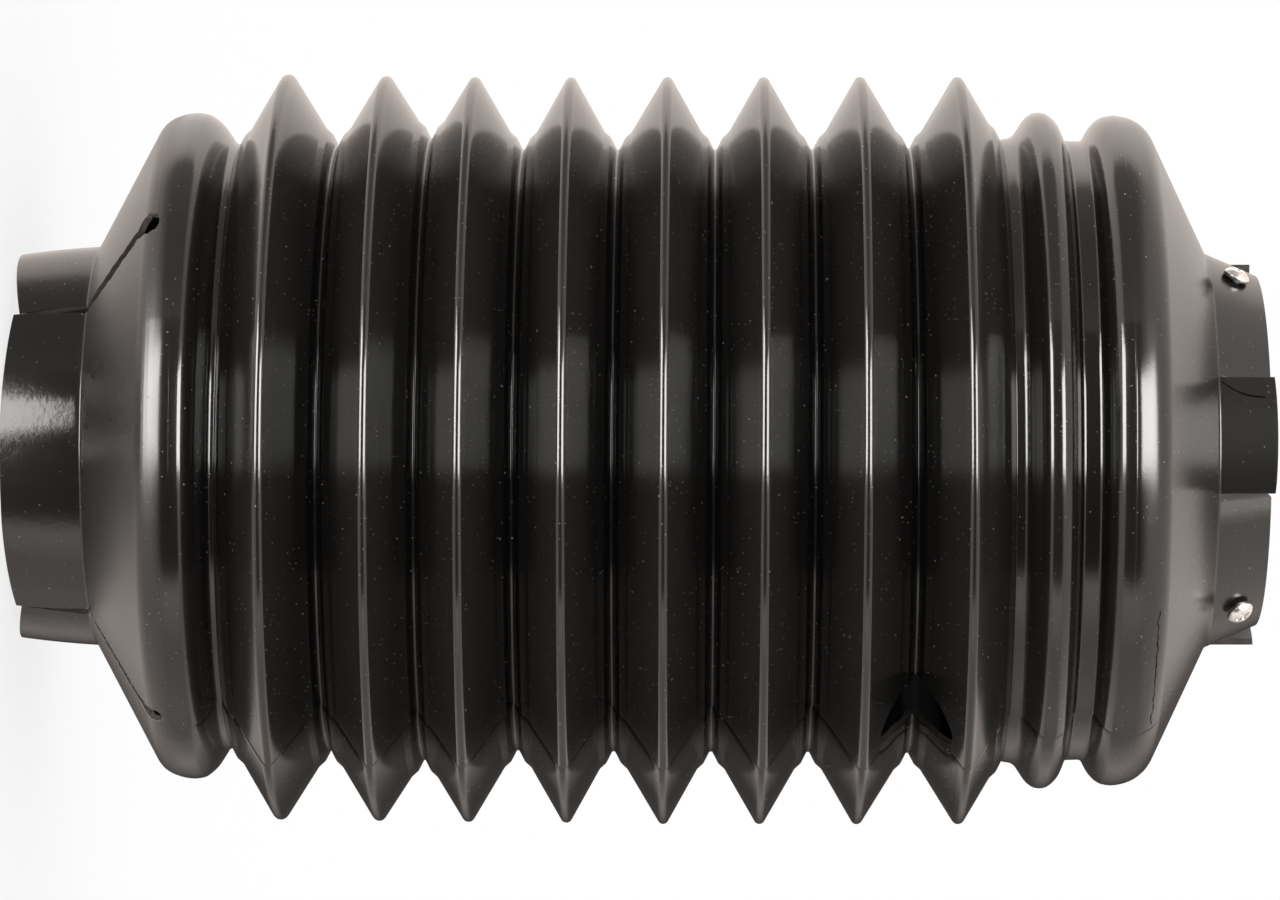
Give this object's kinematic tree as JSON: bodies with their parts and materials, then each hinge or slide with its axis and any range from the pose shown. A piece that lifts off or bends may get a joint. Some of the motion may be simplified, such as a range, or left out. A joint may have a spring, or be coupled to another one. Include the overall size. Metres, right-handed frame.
{
  "type": "rubber bellows boot",
  "caption": "Hollow round folding boot with sharp V folds, rounded shoulders, a slit collar at the foot and a tabbed, screwed collar at the top.",
  "frame": {"origin": "centre of the slit collar's free end, on the surface that the boot stands on", "axes": "+Z along the boot's axis from the slit collar to the tabbed collar; -Y is the front, where one leaf of the slit collar and one straight tab face"},
  "size_m": [0.25, 0.2498, 0.4137],
  "materials": {
    "black_rubber": "glossy moulded",
    "plated_steel": "bright plated"
  },
  "bodies": {
    "root": {"bellows_boot": "black_rubber", "collar_screws": "plated_steel"}
  },
  "joints": []
}
